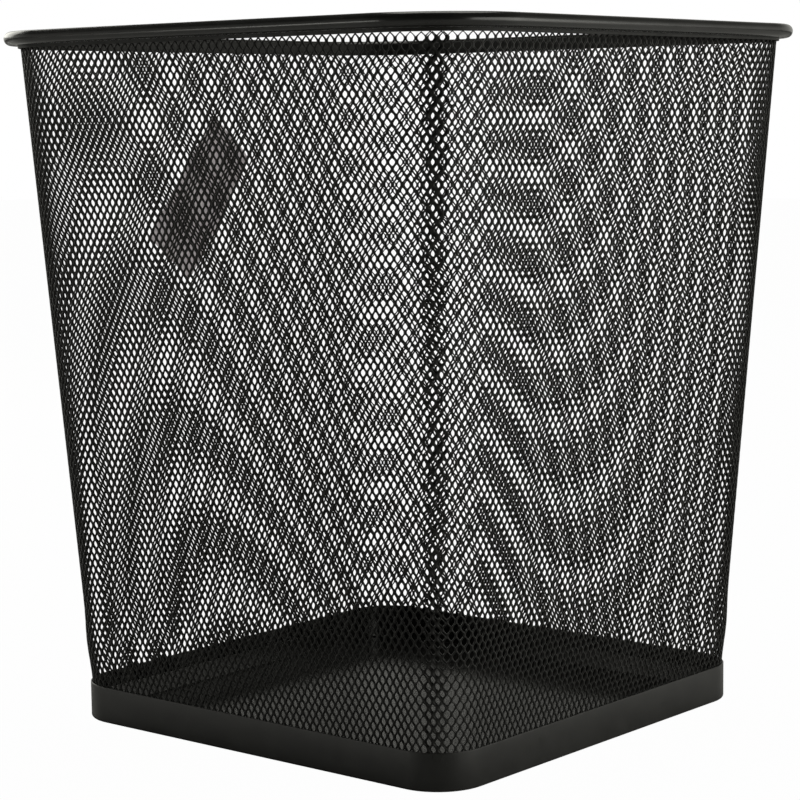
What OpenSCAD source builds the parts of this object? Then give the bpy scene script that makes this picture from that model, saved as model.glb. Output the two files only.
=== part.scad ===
// Square tapered wastebasket of expanded steel mesh.
// A mesh sleeve, lapped at one corner, stands between a plain base band and a floor pan.
// A folded binding strip covers its top edge, and a round tube frames the mouth.
// Origin: centre of the footprint, on the ground. +Z is up, -Y is the front. Millimetres.

/* [Overall] */
// Height from the ground to the top of the rim tube
basket_h = 320; // [280:1:360]
// Width of the square base, across the base band
base_w = 228; // [216:1:236]
// Width of the square mouth, across the rim tube
rim_w = 285; // [275:1:300]

/* [Rim tube] */
// Outside diameter of the tube
tube_d = 6.2; // [5.8:0.2:8]
// Wall of the tube
tube_wall = 0.8; // [0.6:0.1:1.2]
// Corner radius of the rim in plan, at the outside of the tube
rim_corner_r = 45; // [42:1:48]
// Gap at the butt joint where the tube's two ends meet
butt_gap = 0.3; // [0.2:0.1:0.6]

/* [Rim binding] */
// Sheet thickness of the folded strip over the mesh edge
binding_t = 0.6; // [0.5:0.1:0.7]
// Height of the strip's two legs
binding_h = 6.2; // [5.4:0.2:7]
// Distance from the top of the tube down to the top of the strip
binding_drop = 1.3; // [1:0.1:2]

/* [Mesh wall] */
// Overall thickness of the expanded mesh
mesh_t = 0.9; // [0.7:0.1:0.9]
// Width of the lap seam, two cells and a strand
lap_w = 9.5; // [8:0.5:14]
// Distance from the corner's middle to the lap's free edge
lap_edge = 0.3; // [-2:0.1:2]

/* [Base] */
// Height of the base band
band_h = 17; // [14:0.5:22]
// Sheet thickness of the base band
band_t = 0.8; // [0.6:0.1:1]
// Outside corner radius of the base band
band_corner_r = 23; // [20:0.5:26]
// Sheet thickness of the floor pan
pan_t = 0.8; // [0.6:0.1:1]
// Height of the floor pan's upturned flange
pan_h = 10; // [8:0.5:13]

/* [Label] */
// Width of the blank paper label
label_w = 34; // [25:1:45]
// Length of the label
label_l = 78; // [50:1:90]
// Thickness of the label
label_t = 0.3; // [0.3:0.1:0.5]
// Lean of the label's long side from upright, in degrees
label_lean = 41; // [0:1:60]
// Height of the label's centre above the ground
label_z = 241; // [150:1:260]
// Distance of the label's centre behind the middle of the wall
label_y = -3; // [-40:1:40]

/* [Hidden] */
$fn = 96;
facet_fn = 32;     // facets of a full circle in the tapered mesh wall
play = 0.1;        // play between nested sheets
fold_gap = 0.4;    // slack between the mesh and the inner leg of the folded strip
mesh_low = 1;      // height of the mesh's lower edge above the ground
foot_out = 0.05;   // how far the mesh's upright foot stands out from the tapered wall above it
slice = 0.2;       // height of the slices that end a tapered block
over = 1;          // overrun of a cut past the face it leaves
label_corner_r = 2;

// Rim tube: a round section on a rounded square centreline
tube_r = tube_d / 2;
tube_z = basket_h - tube_r;
tube_half = rim_w / 2 - tube_r;
tube_bend = rim_corner_r - tube_r;
tube_run = tube_half - tube_bend;

// Nested sheets at the base, from the outside in: band, mesh, pan
band_half = base_w / 2;
mesh_base_half = band_half - band_t - play;
mesh_base_r = band_corner_r - band_t - play;
pan_half = mesh_base_half - mesh_t - play;
pan_corner_r = mesh_base_r - mesh_t - play;

// Nested sheets at the rim, from the outside in: tube, binding leg, mesh, binding leg
binding_half = rim_w / 2 - tube_d - play / 2;
binding_corner_r = rim_corner_r - tube_d - play / 2;
mesh_top_half = binding_half - binding_t - 2 * play;
mesh_top_r = binding_corner_r - binding_t - 2 * play;
binding_in_half = mesh_top_half - mesh_t - fold_gap;
binding_in_r = mesh_top_r - mesh_t - fold_gap;
binding_top = basket_h - binding_drop;
binding_low = binding_top - binding_h;
mesh_top = binding_top - binding_t - 2 * play;

// Slope of the walls, as rise out per rise up
slope = (mesh_top_half - mesh_base_half) / (mesh_top - band_h);
r_slope = (mesh_top_r - mesh_base_r) / (mesh_top - band_h);
function wall_half(z) = mesh_base_half + slope * (z - band_h);
function wall_r(z) = mesh_base_r + r_slope * (z - band_h);

// Square with round corners, from its half width
module rounded_square(half, r) {
    square([2 * half, 2 * (half - r)], center = true);
    square([2 * (half - r), 2 * half], center = true);
    for (x = [-1, 1], y = [-1, 1])
        translate([x * (half - r), y * (half - r)]) circle(r);
}

// Upright band of sheet with round corners, from its outside half width
module band_ring(half, r, t, h) {
    linear_extrude(h)
        difference() {
            rounded_square(half, r);
            rounded_square(half - t, r - t);
        }
}

// Slice of the tapered wall's outline, for a hull, moved out by grow
module slice_at(z, grow) {
    half = wall_half(z) + grow;
    r = wall_r(z) + grow;
    translate([0, 0, z - slice / 2])
        for (x = [-1, 1], y = [-1, 1])
            translate([x * (half - r), y * (half - r), 0]) cylinder(h = slice, r = r, $fn = facet_fn);
}

// Solid tapered block inside the mesh wall's outside face, moved out by grow
module wall_block(low, top, grow) {
    hull() {
        slice_at(low, grow);
        slice_at(top, grow);
    }
}

// Second layer of mesh where the sheet's edges overlap, just beside the front right corner
module lap_layer() {
    difference() {
        intersection() {
            wall_block(band_h + over, binding_low - over, mesh_t);
            rotate([0, 0, -45])
                translate([band_half, lap_edge - lap_w, 0])
                    cube([rim_w / 2, lap_w, basket_h]);
        }
        wall_block(band_h, binding_low, -mesh_t / 2);
    }
}

module wall_mesh() {
    color([0.16, 0.16, 0.16]) {
        difference() {
            wall_block(band_h, mesh_top - slice / 2, 0);
            wall_block(band_h - over, mesh_top + over, -mesh_t);
        }
        lap_layer();
        translate([0, 0, mesh_low])
            band_ring(mesh_base_half + foot_out, mesh_base_r + foot_out, mesh_t, band_h - mesh_low);
    }
}

// Round bar along the rim's centreline
module rim_bar(r) {
    for (side = [0:3])
        rotate([0, 0, 90 * side]) {
            translate([tube_half, -tube_run, 0]) rotate([-90, 0, 0]) cylinder(h = 2 * tube_run, r = r);
            translate([tube_run, tube_run, 0]) rotate_extrude(angle = 90) translate([tube_bend, 0]) circle(r);
        }
}

module rim_tube() {
    color([0.05, 0.05, 0.05])
        translate([0, 0, tube_z])
            difference() {
                rim_bar(tube_r);
                rim_bar(tube_r - tube_wall);
                translate([-butt_gap / 2, tube_half - tube_d, -tube_d]) cube([butt_gap, 2 * tube_d, 2 * tube_d]);
            }
}

// Folded strip: an outer leg, an inner leg and a web over the mesh edge
module rim_binding() {
    color([0.08, 0.08, 0.08])
        translate([0, 0, binding_low]) {
            band_ring(binding_half, binding_corner_r, binding_t, binding_h);
            band_ring(binding_in_half, binding_in_r, binding_t, binding_h);
            translate([0, 0, binding_h - binding_t])
                band_ring(binding_half, binding_corner_r, binding_half - binding_in_half, binding_t);
        }
}

module base_band() {
    color([0.1, 0.1, 0.1])
        band_ring(band_half, band_corner_r, band_t, band_h);
}

module floor_pan() {
    color([0.06, 0.06, 0.06]) {
        linear_extrude(pan_t) rounded_square(pan_half, pan_corner_r);
        band_ring(pan_half, pan_corner_r, pan_t, pan_h);
    }
}

// Paper label, lying flat on the outside of the left wall
module label() {
    color([0.75, 0.74, 0.74])
        translate([-wall_half(label_z), label_y, label_z])
            rotate([0, -atan(slope), 0])
                translate([-play, 0, 0])
                    rotate([-label_lean, 0, 0])
                        rotate([0, -90, 0])
                            linear_extrude(label_t)
                                rounded_rect(label_l, label_w, label_corner_r);
}

module rounded_rect(l, w, r) {
    square([l, w - 2 * r], center = true);
    square([l - 2 * r, w], center = true);
    for (x = [-1, 1], y = [-1, 1])
        translate([x * (l / 2 - r), y * (w / 2 - r)]) circle(r);
}

wall_mesh();
rim_tube();
rim_binding();
base_band();
floor_pan();
label();
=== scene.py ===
"""Square mesh wastebasket: the looks of its pieces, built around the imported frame.

Everything is in metres in the row frame: +Z up, -Y the front wall, +X the right wall.
The mesh's lap seam is on the corner between those two walls.
"""

import math

import bpy
import numpy as np
from mathutils import Matrix, Vector

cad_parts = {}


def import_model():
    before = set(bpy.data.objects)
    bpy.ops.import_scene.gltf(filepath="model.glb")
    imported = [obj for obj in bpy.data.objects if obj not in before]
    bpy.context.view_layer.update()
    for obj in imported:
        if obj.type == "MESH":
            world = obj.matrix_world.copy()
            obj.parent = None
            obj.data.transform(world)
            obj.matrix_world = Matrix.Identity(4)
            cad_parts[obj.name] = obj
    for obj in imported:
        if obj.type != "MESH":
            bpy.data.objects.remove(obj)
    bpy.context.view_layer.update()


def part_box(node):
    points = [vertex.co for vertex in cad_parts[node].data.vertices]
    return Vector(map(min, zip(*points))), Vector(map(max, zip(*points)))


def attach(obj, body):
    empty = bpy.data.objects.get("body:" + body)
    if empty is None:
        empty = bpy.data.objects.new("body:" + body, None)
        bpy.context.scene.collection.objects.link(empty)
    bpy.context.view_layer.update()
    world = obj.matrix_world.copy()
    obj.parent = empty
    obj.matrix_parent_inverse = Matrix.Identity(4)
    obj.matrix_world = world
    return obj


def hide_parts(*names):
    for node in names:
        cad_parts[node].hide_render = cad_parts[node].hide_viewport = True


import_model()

MM = 0.001
BODY = "root"

# ---------------------------------------------------------------- driving sizes, from the frame

rim_low, rim_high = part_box("rim_tube")
binding_low, binding_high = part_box("rim_binding")
mesh_low, mesh_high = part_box("wall_mesh")
_, band_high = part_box("base_band")
_, pan_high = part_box("floor_pan")
label_low, label_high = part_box("label")

SHEET_T = 0.8 * MM    # thickness of the band and the pan
MESH_T = 0.9 * MM     # overall thickness of the mesh
BINDING_T = 0.6 * MM  # thickness of the binding strip
PLAY = 0.1 * MM       # play between nested sheets
FOLD_GAP = 0.4 * MM   # slack between the mesh and the binding's inner leg

# HALF is a half width and BEND a corner radius in plan, at the tube's centreline or a sheet's outside
RIM_BEND = 45 * MM  # at the outside of the tube
TUBE_R = (rim_high.z - rim_low.z) / 2
TUBE_HALF = rim_high.x - TUBE_R
TUBE_Z = rim_high.z - TUBE_R
TUBE_BEND = RIM_BEND - TUBE_R

BAND_HALF = band_high.x
BAND_TOP = band_high.z
BAND_BEND = 23 * MM

PAN_HALF = pan_high.x
PAN_TOP = pan_high.z
PAN_BEND = BAND_BEND - (SHEET_T + MESH_T + 2 * PLAY)

BINDING_HALF = binding_high.x
BINDING_BEND = TUBE_BEND - TUBE_R - PLAY / 2

# The mesh wall: its outside face in the band, and where it meets the top edge
WALL_FOOT = BAND_HALF - SHEET_T - PLAY
WALL_FOOT_BEND = BAND_BEND - SHEET_T - PLAY
WALL_TOP = BINDING_HALF - BINDING_T - 2 * PLAY
WALL_TOP_BEND = BINDING_BEND - BINDING_T - 2 * PLAY
WALL_RISE = (WALL_TOP - WALL_FOOT) / (mesh_high.z - BAND_TOP)
BEND_RISE = (WALL_TOP_BEND - WALL_FOOT_BEND) / (mesh_high.z - BAND_TOP)


# ---------------------------------------------------------------- shapes


def outline(arc, half, bend):
    """Points and outward normals of a rounded square, at arc lengths from the front right corner's middle.

    The arc runs anticlockwise seen from above. half is the half width and bend the corner radius.
    """
    arc, half, bend = np.broadcast_arrays(arc, half, bend)
    run = half - bend
    side = 2 * run + bend * math.pi / 2
    turn = np.floor(arc / side)
    along = arc - turn * side
    first = bend * math.pi / 4
    angle = np.where(along < first, along / bend - math.pi / 4, 0.0)
    angle = np.where(along > first + 2 * run, (along - first - 2 * run) / bend, angle)
    slide = np.clip(along - first, 0, 2 * run) - run
    x = run + bend * np.cos(angle)
    y = slide + bend * np.sin(angle)
    nx, ny = np.cos(angle), np.sin(angle)
    c, s = np.cos(turn * math.pi / 2), np.sin(turn * math.pi / 2)
    return c * x - s * y, s * x + c * y, c * nx - s * ny, s * nx + c * ny


def perimeter(half, bend):
    return 8 * (half - bend) + 2 * math.pi * bend


def make_object(name, verts, faces, material, flat_faces=0):
    """A mesh object from arrays of points and quads. The last flat_faces faces are shaded flat."""
    me = bpy.data.meshes.new(name)
    faces = np.asarray(faces, np.int32)
    me.vertices.add(len(verts))
    me.vertices.foreach_set("co", np.asarray(verts, np.float32).ravel())
    me.loops.add(faces.size)
    me.loops.foreach_set("vertex_index", faces.ravel())
    me.polygons.add(len(faces))
    me.polygons.foreach_set("loop_start", np.arange(0, faces.size, faces.shape[1], dtype=np.int32))
    smooth = np.ones(len(faces), bool)
    smooth[len(faces) - flat_faces :] = False
    me.polygons.foreach_set("use_smooth", smooth)
    me.update(calc_edges=True)
    me.materials.append(material)
    ob = bpy.data.objects.new(name, me)
    bpy.context.scene.collection.objects.link(ob)
    return ob


def fillet(corners, steps=4):
    """A closed outline with round corners. Each corner is (out, z, radius)."""
    points = []
    count = len(corners)
    for i, (x, z, radius) in enumerate(corners):
        here = Vector((x, z))
        before = (Vector(corners[i - 1][:2]) - here).normalized()
        after = (Vector(corners[(i + 1) % count][:2]) - here).normalized()
        if radius == 0:
            points.append((x, z))
            continue
        half_angle = before.angle(after) / 2
        centre = here + (before + after).normalized() * (radius / math.sin(half_angle))
        start = here + before * (radius / math.tan(half_angle)) - centre
        end = here + after * (radius / math.tan(half_angle)) - centre
        sweep_angle = start.angle_signed(end)
        for k in range(steps + 1):
            turned = start.copy()
            turned.rotate(Matrix.Rotation(-sweep_angle * k / steps, 2))
            points.append(tuple(centre + turned))
    return np.array(points)


def stations(half, bend, step=4 * MM, arc_steps=24):
    """Arc lengths round a rounded square: wide apart on the straights, closer on the corners."""
    run = half - bend
    quarter = bend * math.pi / 4
    straight = np.linspace(quarter, quarter + 2 * run, max(2, round(2 * run / step)))
    curve = np.linspace(0, quarter * 2, arc_steps, endpoint=False)[1:] + quarter + 2 * run
    side = np.concatenate([straight, curve])
    return np.concatenate([side + k * (2 * run + 2 * quarter) for k in range(4)])


def grid_faces(rings, around, closed=True):
    """Quads between rings of points. closed joins the last ring to the first."""
    i, j = np.meshgrid(np.arange(rings if closed else rings - 1), np.arange(around), indexing="ij")
    ni, nj = (i + 1) % rings, (j + 1) % around
    faces = np.stack([i * around + j, ni * around + j, ni * around + nj, i * around + nj], axis=2)
    return faces.reshape(-1, 4)


def sweep(name, profile, half, bend, material, arcs=None, waist=None):
    """Carries a closed profile of (out, z) points round a rounded square.

    waist scales the profile about its own middle at each of the arcs.
    """
    if arcs is None:
        arcs = stations(half, bend)
    if waist is None:
        waist = np.ones(len(arcs))
    x, y, nx, ny = outline(arcs, half, bend)
    middle = profile.mean(axis=0)
    out = middle[0] + (profile[:, 0] - middle[0])[None] * waist[:, None]
    z = middle[1] + (profile[:, 1] - middle[1])[None] * waist[:, None]
    points = np.stack([x[:, None] + nx[:, None] * out, y[:, None] + ny[:, None] * out, z], axis=2)
    faces = grid_faces(*points.shape[:2])
    return make_object(name, points.reshape(-1, 3), faces, material)


# ---------------------------------------------------------------- materials


class Nodes:
    """A material's node tree, with short calls for the nodes used here."""

    def __init__(self, name):
        self.material = bpy.data.materials.new(name)
        self.material.use_nodes = True
        self.tree = self.material.node_tree
        self.shader = self.tree.nodes["Principled BSDF"]
        self.where = self.tree.nodes.new("ShaderNodeTexCoord").outputs["Object"]

    def add(self, kind):
        return self.tree.nodes.new(kind)

    def noise(self, scale, detail=2.0):
        node = self.add("ShaderNodeTexNoise")
        node.inputs["Scale"].default_value = scale
        node.inputs["Detail"].default_value = detail
        self.tree.links.new(self.where, node.inputs["Vector"])
        return node.outputs["Fac"]

    def remap(self, value, low, high, from_low=0.3, from_high=0.7):
        node = self.add("ShaderNodeMapRange")
        node.inputs["From Min"].default_value = from_low
        node.inputs["From Max"].default_value = from_high
        node.inputs["To Min"].default_value = low
        node.inputs["To Max"].default_value = high
        self.tree.links.new(value, node.inputs["Value"])
        return node.outputs["Result"]

    def ramp(self, value, low, high, from_low=0.35, from_high=0.65):
        node = self.add("ShaderNodeValToRGB")
        node.color_ramp.elements[0].position = from_low
        node.color_ramp.elements[0].color = (*low, 1)
        node.color_ramp.elements[1].position = from_high
        node.color_ramp.elements[1].color = (*high, 1)
        self.tree.links.new(value, node.inputs["Fac"])
        return node.outputs["Color"]

    def bump(self, height, distance, strength=1.0):
        node = self.add("ShaderNodeBump")
        node.inputs["Distance"].default_value = distance
        node.inputs["Strength"].default_value = strength
        self.tree.links.new(height, node.inputs["Height"])
        return node.outputs["Normal"]

    def feed(self, socket, value):
        if isinstance(value, bpy.types.NodeSocket):
            self.tree.links.new(value, self.shader.inputs[socket])
        else:
            self.shader.inputs[socket].default_value = value


def coated_steel(name, tone, rough, peel, specular=0.5):
    """Black enamel on steel: a slightly uneven tone, cloudy gloss and a fine orange peel."""
    n = Nodes(name)
    dark = tuple(c * 0.8 for c in tone)
    light = tuple(c * 1.25 for c in tone)
    n.feed("Base Color", n.ramp(n.noise(60, 3), dark, light))
    n.feed("Roughness", n.remap(n.noise(140, 3), rough * 0.88, rough * 1.12))
    n.feed("Normal", n.bump(n.noise(900, 2), peel))
    n.feed("Specular IOR Level", specular)
    return n.material


def mesh_steel():
    """The same enamel on the mesh's strands. Its relief is all in the strands themselves."""
    n = Nodes("mesh_enamel")
    n.feed("Base Color", n.ramp(n.noise(45, 3), (0.010, 0.010, 0.009), (0.016, 0.016, 0.015)))
    n.feed("Roughness", n.remap(n.noise(160, 2), 0.36, 0.50))
    n.feed("Specular IOR Level", 0.25)
    return n.material


def paper():
    """Blank label stock: short fibres, faint mottling, no print. Light from behind glows through it."""
    n = Nodes("label_paper")
    tone = n.ramp(n.noise(900, 5), (0.80, 0.77, 0.80), (0.90, 0.87, 0.90))
    n.feed("Base Color", tone)
    n.feed("Roughness", n.remap(n.noise(700, 4), 0.80, 0.95))
    n.feed("Normal", n.bump(n.noise(2500, 4), 0.03 * MM))
    n.feed("Specular IOR Level", 0.3)
    glow = n.add("ShaderNodeBsdfTranslucent")
    n.tree.links.new(tone, glow.inputs["Color"])
    mix = n.add("ShaderNodeMixShader")
    mix.inputs["Fac"].default_value = PAPER_GLOW
    n.tree.links.new(n.shader.outputs["BSDF"], mix.inputs[1])
    n.tree.links.new(glow.outputs["BSDF"], mix.inputs[2])
    n.tree.links.new(mix.outputs["Shader"], n.tree.nodes["Material Output"].inputs["Surface"])
    return n.material


BLACK = (0.016, 0.016, 0.015)
PAPER_GLOW = 0.6  # share of the light that a face of the paper lets through
rim_enamel = coated_steel("rim_enamel", BLACK, 0.20, 0.010 * MM)
band_enamel = coated_steel("band_enamel", BLACK, 0.38, 0.015 * MM)
binding_enamel = coated_steel("binding_enamel", BLACK, 0.50, 0.015 * MM, 0.25)
pan_enamel = coated_steel("pan_enamel", BLACK, 0.17, 0.012 * MM)
mesh_enamel = mesh_steel()
label_paper = paper()


# ---------------------------------------------------------------- the mesh wall

COLUMNS = 232          # cells in one turn of the wall
LAP_COLUMNS = 2        # cells that the sheet's two edges overlap
ROW = 6.08 * MM        # height of one cell
BOND_HALF = 0.52 * MM  # half the length of the bonds where strands join
BOND_WIDE = 0.56 * MM  # half their width
STRAND_W = 0.60 * MM   # width of the strands between them
ROUND = 0.35           # how far a hole's outline goes from a hexagon towards an ellipse
STRAND_T = 0.88 * MM   # thickness of a strand
EDGE_T = 0.80          # share of that thickness left at a strand's edges
TWIST = 0.10 * MM      # how far each hole's sides lean out and in
SECTORS = 12
# The lap's step at some heights, in tenths of a metre: along the sheet in columns, and up it in rows
LAP_HEIGHTS = (0.30, 0.87, 1.08, 1.34, 1.56, 1.71, 1.93, 2.28, 2.50, 2.75, 3.02)
LAP_ALONG = (0.90, 0.86, 0.76, 0.64, 0.62, 0.42, 0.28, 0.16, 0.17, 0.20, 0.20)
LAP_RISE = (0.00, -0.12, 0.22, 0.36, 0.48, 0.40, 0.27, 0.12, 0.05, -0.03, -0.03)
LAP_HOLE = 0.90        # share of a hole's size that is left where the lap is rolled flat
LAP_RAMP = 7 * MM      # run over which the outer edge climbs onto the inner one
LAP_TURN = 0.15        # columns between the lap and the corner's middle
LAP_REACH = 0.3        # columns past the lap's edges that still have the smaller holes
LAP_SPARE = 0.25       # columns past the lap at which a cell of the outer edge is still kept
# The column at which the sheet starts to go out of step, and the columns that it takes
DRIFT_START, DRIFT_RUN = COLUMNS * 0.8, COLUMNS * 0.2
# The wall's slight swell: how far out, how high above the band, and how tall
SWELL, SWELL_AT, SWELL_RUN = 0.5 * MM, 19 * MM, 11 * MM
# The rows of cells are counted from this far inside the CAD wall's foot and top
FOOT_INSET, TOP_INSET = 0.6 * MM, 0.8 * MM
WELD = 0.002 * MM      # grid on which the points that neighbouring cells share are matched


def wall_half(z):
    """Half width of the mesh's outside face: upright in the band, then tapered, with a slight swell."""
    over = z - BAND_TOP
    swell = SWELL * np.exp(-(((over - SWELL_AT) / SWELL_RUN) ** 2))
    return WALL_FOOT + np.where(over > 0, WALL_RISE * over + swell, swell)


def wall_bend(z):
    return WALL_FOOT_BEND + BEND_RISE * np.maximum(z - BAND_TOP, 0)


def cell_border(row):
    """One cell's edge, from its middle: shares of a column across, metres up. Anticlockwise."""
    point = row / 2 - BOND_HALF
    quarter = [(0.5, BOND_HALF), (1 / 3, BOND_HALF + (point - BOND_HALF) / 3)]
    quarter.append((1 / 6, BOND_HALF + (point - BOND_HALF) * 2 / 3))
    upper = quarter + [(0, point)] + [(-x, y) for x, y in reversed(quarter)]
    return np.array(upper + [(-x, -y) for x, y in upper])


def cell_hole(border, column):
    """The hole inside a cell: its edge moved in by half a strand, part way to an ellipse."""
    point = ROW / 2 - BOND_HALF
    wide = column / 2 - BOND_WIDE
    tall = point - STRAND_W / 2 * np.hypot(column / 2, point - BOND_HALF) / (column / 2)
    x, y = border[:, 0] * 2 * wide, border[:, 1] * tall / point
    reach = np.hypot(x / wide, y / tall)
    return x * (1 - ROUND + ROUND / reach), y * (1 - ROUND + ROUND / reach)


def lap_step(z):
    """How far the sheet's two edges are out of step where they overlap: columns along, metres up.

    The step grows on the way down, so the two layers of strands drift in and out of line.
    """
    up = z / (100 * MM)
    along = np.interp(up, LAP_HEIGHTS, LAP_ALONG)
    rise = np.interp(up, LAP_HEIGHTS, LAP_RISE)
    return along, rise * ROW


def ease(share):
    """A share cut to 0 to 1, with smooth ends."""
    share = np.clip(share, 0, 1)
    return share * share * (3 - 2 * share)


def mesh_points(column, z, out):
    """Places points of the flat sheet, given as columns from its inner edge and heights, on the wall."""
    half, bend = wall_half(z), wall_bend(z)
    pitch = perimeter(half, bend) / COLUMNS
    step_x, step_z = lap_step(z)
    late = ease((column - DRIFT_START) / DRIFT_RUN)
    z = z + step_z * late
    arc = (column + step_x * late - LAP_COLUMNS - LAP_TURN) * pitch
    climb = ease((column * pitch - (COLUMNS * pitch - LAP_RAMP)) / LAP_RAMP)
    out = out + climb * MESH_T - MESH_T / 2
    x, y, nx, ny = outline(arc, half, bend)
    lean = 1 / math.hypot(1, WALL_RISE)
    return np.stack([x + nx * out * lean, y + ny * out * lean, z - out * lean * WALL_RISE], axis=-1)


def mesh_sector(index, first, last, rows, bottom):
    """Cells of columns first to last, as one closed piece."""
    border = cell_border(ROW)
    around = len(border)
    row, col = np.meshgrid(np.arange(rows), np.arange(first, last), indexing="ij")
    middle_col = (col + 0.5 + (row % 2) * 0.5).ravel()
    middle_z = (bottom + (row + 0.5) * ROW / 2).ravel()
    kept = middle_col + lap_step(middle_z)[0] < COLUMNS + LAP_COLUMNS + LAP_SPARE
    kept |= middle_col < COLUMNS
    middle_col, middle_z = middle_col[kept], middle_z[kept]
    z_edge = middle_z[:, None] + border[:, 1][None]
    col_edge = middle_col[:, None] + border[:, 0][None]
    half, bend = wall_half(middle_z), wall_bend(middle_z)
    pitch = (perimeter(half, bend) / COLUMNS)[:, None]
    hole_x, hole_z = cell_hole(border, pitch)
    in_lap = (middle_col < LAP_COLUMNS + LAP_REACH) | (middle_col > COLUMNS - LAP_REACH)
    squeeze = np.where(in_lap, LAP_HOLE, 1.0)[:, None]
    hole_x, hole_z = hole_x * squeeze, hole_z * squeeze
    lean = TWIST * hole_x / (pitch / 2)
    col_hole = middle_col[:, None] + hole_x / pitch
    z_hole = middle_z[:, None] + hole_z
    t = STRAND_T / 2
    rings = [
        mesh_points(col_edge, z_edge, np.full_like(z_edge, t)),
        mesh_points(col_hole, z_hole, lean + t * EDGE_T),
        mesh_points(col_hole, z_hole, lean - t * EDGE_T),
        mesh_points(col_edge, z_edge, np.full_like(z_edge, -t)),
    ]
    cells = len(middle_col)
    points = np.stack(rings, axis=1).reshape(-1, 3)
    base = (np.arange(cells) * len(rings) * around)[:, None, None]
    k = np.arange(around)
    nk = (k + 1) % around
    bands = []
    for ring in range(len(rings) - 1):
        here, there = ring * around, (ring + 1) * around
        bands.append(np.stack([here + k, here + nk, there + nk, there + k], axis=1))
    faces = (base + np.concatenate(bands)[None]).reshape(-1, 4)
    keys = np.round(points / WELD).astype(np.int64)
    _, pick, merged = np.unique(keys, axis=0, return_index=True, return_inverse=True)
    merged = merged.ravel()
    faces = merged[faces]
    points = points[pick]
    walls = rim_walls(faces, cells, around)
    faces = np.concatenate([faces, walls])
    return make_object(f"mesh_{index:02d}", points, faces, mesh_enamel, flat_faces=len(walls))


def rim_walls(faces, cells, around):
    """Quads that close the cut strands along a sector's edges, from the front edge to the back edge."""
    per_cell = faces.reshape(cells, 3, around, 4)
    front = per_cell[:, 0, :, :2].reshape(-1, 2)
    back = per_cell[:, 2, :, 2:].reshape(-1, 2)
    key = np.sort(front, axis=1)
    _, where, counts = np.unique(key, axis=0, return_inverse=True, return_counts=True)
    open_edges = counts[where.ravel()] == 1
    f, b = front[open_edges], back[open_edges]
    return np.stack([f[:, 1], f[:, 0], b[:, 1], b[:, 0]], axis=1)


def mesh_wall():
    bottom = mesh_low.z + FOOT_INSET
    rows = int((mesh_high.z - TOP_INSET - bottom) / (ROW / 2)) - 1
    total = COLUMNS + LAP_COLUMNS
    edges = np.linspace(0, total, SECTORS + 1).round().astype(int)
    for i in range(SECTORS):
        piece = mesh_sector(i + 1, edges[i], edges[i + 1], rows, bottom)
        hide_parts("wall_mesh")
        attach(piece, BODY)


# ---------------------------------------------------------------- rim, band, pan and label


def rim_tube():
    """Round tube, with a shallow groove where its two ends butt together at the middle of the back."""
    sides = 32
    angles = np.linspace(0, 2 * math.pi, sides, endpoint=False)
    profile = np.stack([TUBE_R * np.cos(angles), TUBE_Z + TUBE_R * np.sin(angles)], axis=1)
    butt = perimeter(TUBE_HALF, TUBE_BEND) * 3 / 8
    groove = 0.25 * MM
    groove_depth = 0.06  # as a share of the tube's radius
    reach = 3            # groove widths each way that get close stations
    arcs = stations(TUBE_HALF, TUBE_BEND, arc_steps=40)
    in_groove = butt + np.linspace(-reach, reach, 4 * reach + 1) * groove
    arcs = np.sort(np.concatenate([arcs[abs(arcs - butt) > reach * groove], in_groove]))
    waist = 1 - groove_depth * np.exp(-(((arcs - butt) / groove) ** 2))
    piece = sweep("rim_tube_round", profile, TUBE_HALF, TUBE_BEND, rim_enamel, arcs, waist)
    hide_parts("rim_tube")
    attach(piece, BODY)


def rim_binding():
    """Folded strip over the mesh's top edge: an outer leg, a web and an inner leg."""
    low, high = binding_low.z, binding_high.z
    wide = MESH_T + 2 * BINDING_T + 2 * PLAY + FOLD_GAP
    edge, fold, inside = 0.25 * MM, 0.8 * MM, 0.1 * MM
    corners = [
        (0, low, edge),
        (0, high, fold),
        (-wide, high, fold),
        (-wide, low, edge),
        (-wide + BINDING_T, low, edge),
        (-wide + BINDING_T, high - BINDING_T, inside),
        (-BINDING_T, high - BINDING_T, inside),
        (-BINDING_T, low, edge),
    ]
    piece = sweep("rim_binding_strip", fillet(corners), BINDING_HALF, BINDING_BEND, binding_enamel)
    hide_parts("rim_binding")
    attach(piece, BODY)


def base_band():
    """Plain band, whose lower edge turns a little inward under the mesh."""
    heel, inside = 1.2 * MM, 0.1 * MM
    outer_lip, inner_lip = 0.35 * MM, 0.3 * MM
    turned_in = 1.9 * MM
    corners = [
        (0, 0, heel),
        (0, BAND_TOP, outer_lip),
        (-SHEET_T, BAND_TOP, inner_lip),
        (-SHEET_T, turned_in, inside),
        (-turned_in, SHEET_T, inside),
        (-turned_in, 0, inside),
    ]
    piece = sweep("base_band_strip", fillet(corners, 6), BAND_HALF, BAND_BEND, band_enamel)
    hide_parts("base_band")
    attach(piece, BODY)


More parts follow.
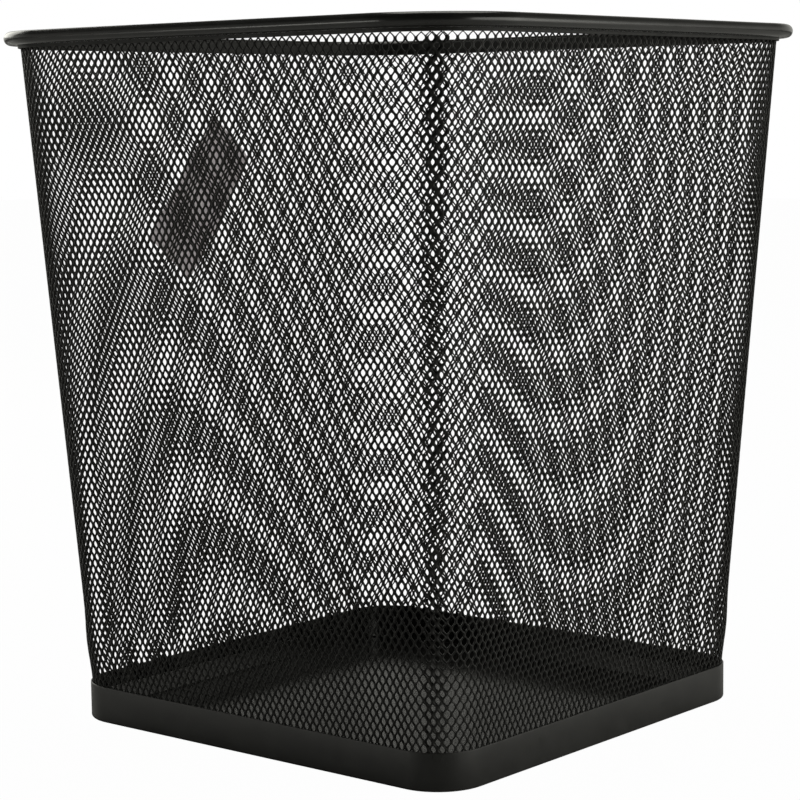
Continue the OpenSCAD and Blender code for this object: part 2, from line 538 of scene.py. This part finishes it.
def floor_pan():
    """The pan: a plate with a slight crown, whose edge turns up into a flange."""
    fold, lip = 1.6 * MM, 0.3 * MM
    crown = 0.5 * MM
    margin = 8 * MM  # width of the edge strip round the plate
    corners = [
        (-margin, 0, 0),
        (0, 0, fold),
        (0, PAN_TOP, lip),
        (-SHEET_T, PAN_TOP, lip),
        (-SHEET_T, SHEET_T, fold - SHEET_T),
        (-margin, SHEET_T, 0),
    ]
    profile = fillet(corners, 6)
    x, y, nx, ny = outline(stations(PAN_HALF, PAN_BEND), PAN_HALF, PAN_BEND)
    edge = [np.stack([x + nx * out, y + ny * out, np.full_like(x, z)], axis=1) for out, z in profile]
    shares = np.linspace(0.04, 1, 24, endpoint=False)

    def plate(ring, share):
        """A ring drawn in towards the pan's middle and lifted onto the crown."""
        lift = crown * (1 - share * share) ** 2
        return ring * (share, share, 1) + (0, 0, lift)

    underside = [plate(edge[0], share) for share in shares]
    topside = [plate(edge[-1], share) for share in shares[::-1]]
    rings = underside + edge + topside
    points = np.concatenate(rings)
    around = len(x)
    faces = grid_faces(len(rings), around, closed=False)[:, ::-1].tolist()
    faces += [list(range(around))[::-1], list(range(len(points) - around, len(points)))]
    me = bpy.data.meshes.new("floor_pan_formed")
    me.from_pydata(points.tolist(), [], faces)
    me.polygons.foreach_set("use_smooth", np.ones(len(faces), bool))
    me.materials.append(pan_enamel)
    piece = bpy.data.objects.new("floor_pan_formed", me)
    bpy.context.scene.collection.objects.link(piece)
    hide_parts("floor_pan")
    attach(piece, BODY)


LABEL_L, LABEL_W, LABEL_T = 78 * MM, 34 * MM, 0.3 * MM
LABEL_LEAN = math.radians(41)
LABEL_CORNER = 2 * MM
LABEL_QUILT = 0.05 * MM  # how far the mesh's cells press the paper in and out
LABEL_LIFT = 2.2 * MM    # how far the loose corner stands off the mesh
# Shares of the way from the label's middle to its loose corner: flat, then lifting
LABEL_STUCK, LABEL_LOOSE = 0.55, 0.45


def label():
    """Blank paper label on the left wall, faintly quilted by the mesh, with one corner coming away."""
    turn = np.linspace(-math.pi / 2, math.pi / 2, 101)
    u = np.sin(turn) * LABEL_L / 2
    from_end = np.minimum(LABEL_L / 2 - abs(u), LABEL_CORNER)
    half_wide = LABEL_W / 2 - LABEL_CORNER + np.sqrt(LABEL_CORNER**2 - (LABEL_CORNER - from_end) ** 2)
    share = np.linspace(-1, 1, 45)
    u = np.broadcast_to(u[:, None], (len(u), len(share)))
    v = share[None] * half_wide[:, None]
    middle = (label_low + label_high) / 2
    y = middle.y + u * math.sin(LABEL_LEAN) + v * math.cos(LABEL_LEAN)
    rise = u * math.cos(LABEL_LEAN) - v * math.sin(LABEL_LEAN)
    pitch = perimeter(float(wall_half(middle.z)), float(wall_bend(middle.z))) / COLUMNS
    quilt = -LABEL_QUILT * np.cos(2 * math.pi * y / pitch) * np.cos(2 * math.pi * rise / ROW)
    corner = np.clip((u / LABEL_L + v / LABEL_W - LABEL_STUCK) / LABEL_LOOSE, 0, 1)
    out = PLAY + LABEL_QUILT + quilt + LABEL_LIFT * corner**2
    tilt = math.atan(WALL_RISE)
    sides = []
    for depth in (0, LABEL_T):
        x = -float(wall_half(middle.z)) - (out + depth) * math.cos(tilt) - rise * math.sin(tilt)
        z = middle.z - (out + depth) * math.sin(tilt) + rise * math.cos(tilt)
        sides.append(np.stack([x, y, z], axis=2).reshape(-1, 3))
    rows, columns = u.shape
    index = np.arange(rows * columns).reshape(rows, columns)
    quads = np.stack([index[:-1, :-1], index[1:, :-1], index[1:, 1:], index[:-1, 1:]], axis=2)
    quads = quads.reshape(-1, 4)
    loop = np.concatenate([index[0, :-1], index[:-1, -1], index[-1, :0:-1], index[:0:-1, 0]])
    after = np.roll(loop, -1)
    offset = rows * columns
    edge = np.stack([loop, after, after + offset, loop + offset], axis=1)
    points = np.concatenate(sides)
    faces = np.concatenate([quads[:, ::-1], quads + offset, edge[:, ::-1]])
    piece = make_object("label_paper_sheet", points, faces, label_paper, flat_faces=len(edge))
    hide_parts("label")
    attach(piece, BODY)


mesh_wall()
rim_tube()
rim_binding()
base_band()
floor_pan()
label()


# ---------------------------------------------------------------- stage, light and camera

STAGE_HALF = 6.0     # half width of the floor
FLOOR_WHITE = 0.985  # share of plain white in what the eye sees of the floor
FRONT_DIM, BACK_BRIGHT = 0.03, 0.65  # the studio's brightness in front of the basket and behind it
STUDIO_TINT = (1.0, 0.995, 0.92)
# The studio's light against direction, round the basket and upward: from low, from high, to low, to high
STUDIO_AROUND = (-0.9, 0.8, FRONT_DIM, BACK_BRIGHT)
STUDIO_UPWARD = (0.15, 0.6, 1.0, 0.10)

CAM_AZIMUTH, CAM_PITCH, CAM_ROLL = 39.98, 6.78, -0.72  # degrees
CAM_DISTANCE = 1.1173
CAM_SIDE, CAM_AIM_Z = -3.3 * MM, 146.8 * MM
CAM_LENS, CAM_SENSOR = 106.53, 36  # millimetres


def floor_material():
    """Pale matt floor, which the eye sees almost as white as the backdrop behind it."""
    n = Nodes("floor_pale")
    n.feed("Base Color", (0.80, 0.80, 0.80, 1))
    n.feed("Roughness", 0.9)
    n.feed("Specular IOR Level", 0.2)
    white = n.add("ShaderNodeEmission")
    mix = n.add("ShaderNodeMixShader")
    path = n.add("ShaderNodeLightPath")
    share = n.remap(path.outputs["Is Camera Ray"], 0.0, FLOOR_WHITE, 0, 1)
    n.tree.links.new(share, mix.inputs["Fac"])
    n.tree.links.new(n.shader.outputs["BSDF"], mix.inputs[1])
    n.tree.links.new(white.outputs["Emission"], mix.inputs[2])
    n.tree.links.new(mix.outputs["Shader"], n.tree.nodes["Material Output"].inputs["Surface"])
    return n.material


def stage():
    """A wide plain floor."""
    size = STAGE_HALF
    me = bpy.data.meshes.new("studio_floor")
    corners = [(-size, -size, 0), (size, -size, 0), (size, size, 0), (-size, size, 0)]
    me.from_pydata(corners, [], [(0, 1, 2, 3)])
    floor = bpy.data.objects.new("studio_floor", me)
    me.materials.append(floor_material())
    bpy.context.scene.collection.objects.link(floor)


def area_light(name, place, target, size, power):
    data = bpy.data.lights.new(name, "AREA")
    data.shape = "RECTANGLE"
    data.size, data.size_y = size
    data.energy = power
    data.color = STUDIO_TINT
    ob = bpy.data.objects.new(name, data)
    ob.location = place
    ob.rotation_euler = (Vector(target) - Vector(place)).to_track_quat("-Z", "Y").to_euler()
    bpy.context.scene.collection.objects.link(ob)


def softbox(name, azimuth, elevation, size, power, distance=1.6):
    """An area light that faces the rim, placed by its bearing from the front and its height in degrees."""
    azimuth, elevation = math.radians(azimuth), math.radians(elevation)
    level = math.cos(elevation)
    way = Vector((math.sin(azimuth) * level, -math.cos(azimuth) * level, math.sin(elevation)))
    middle = Vector((0, 0, TUBE_Z))
    area_light(name, middle + way * distance, middle, size, power)


def world():
    """A studio: bright behind the basket, dark in front and overhead, and plain white to the eye."""
    w = bpy.data.worlds.new("studio")
    bpy.context.scene.world = w
    w.use_nodes = True
    tree = w.node_tree
    tree.nodes.clear()

    def node(kind, **settings):
        made = tree.nodes.new(kind)
        for key, value in settings.items():
            setattr(made, key, value)
        return made

    def remap(value, rows):
        made = node("ShaderNodeMapRange", interpolation_type="SMOOTHSTEP")
        for name, number in zip(("From Min", "From Max", "To Min", "To Max"), rows):
            made.inputs[name].default_value = number
        tree.links.new(value, made.inputs["Value"])
        return made.outputs["Result"]

    direction = node("ShaderNodeTexCoord").outputs["Generated"]
    azimuth = math.radians(CAM_AZIMUTH)
    dot = node("ShaderNodeVectorMath", operation="DOT_PRODUCT")
    dot.inputs[1].default_value = (-math.sin(azimuth), math.cos(azimuth), 0)
    tree.links.new(direction, dot.inputs[0])
    split = node("ShaderNodeSeparateXYZ")
    tree.links.new(direction, split.inputs["Vector"])
    level = node("ShaderNodeMath", operation="MULTIPLY")
    tree.links.new(remap(dot.outputs["Value"], STUDIO_AROUND), level.inputs[0])
    tree.links.new(remap(split.outputs["Z"], STUDIO_UPWARD), level.inputs[1])
    pick = node("ShaderNodeMix", data_type="FLOAT")
    path = node("ShaderNodeLightPath")
    tree.links.new(path.outputs["Is Camera Ray"], pick.inputs["Factor"])
    tree.links.new(level.outputs["Value"], pick.inputs["A"])
    pick.inputs["B"].default_value = 1.0
    tone = node("ShaderNodeMix", data_type="RGBA")
    color_a, color_b, color_out = 6, 7, 2  # a Mix node's colour sockets share their names with others
    tree.links.new(path.outputs["Is Camera Ray"], tone.inputs["Factor"])
    tone.inputs[color_a].default_value = (*STUDIO_TINT, 1)
    tone.inputs[color_b].default_value = (1, 1, 1, 1)
    light = node("ShaderNodeBackground")
    tree.links.new(tone.outputs[color_out], light.inputs["Color"])
    tree.links.new(pick.outputs["Result"], light.inputs["Strength"])
    tree.links.new(light.outputs["Background"], node("ShaderNodeOutputWorld").inputs["Surface"])


def camera():
    """A long lens in front of the seam's corner, looking a little down at the basket's middle."""
    az, pitch, roll = (math.radians(v) for v in (CAM_AZIMUTH, CAM_PITCH, CAM_ROLL))
    back = Vector((math.sin(az) * math.cos(pitch), -math.cos(az) * math.cos(pitch), math.sin(pitch)))
    right = Vector((math.cos(az), math.sin(az), 0))
    up = right.cross(-back)
    place = back * CAM_DISTANCE + right * CAM_SIDE + Vector((0, 0, CAM_AIM_Z))
    x_axis = right * math.cos(roll) + up * math.sin(roll)
    y_axis = up * math.cos(roll) - right * math.sin(roll)
    data = bpy.data.cameras.new("camera")
    data.lens, data.sensor_width = CAM_LENS, CAM_SENSOR
    ob = bpy.data.objects.new("camera", data)
    turn = Matrix((x_axis, y_axis, back)).transposed()
    ob.matrix_world = Matrix.Translation(place) @ turn.to_4x4()
    bpy.context.scene.collection.objects.link(ob)
    bpy.context.scene.camera = ob


stage()
world()
area_light("overhead", (-0.3, 0.5, 1.8), (0, 0, 0), (1.0, 1.0), 8)
softbox("back_right_box", 108, 3, (2.0, 0.8), 12.5)
softbox("left_box", -98, 18, (1.0, 0.8), 6)
softbox("front_left_box", -28, -7, (0.8, 0.2), 2.0)
camera()
bpy.context.scene.view_settings.view_transform = "Standard"
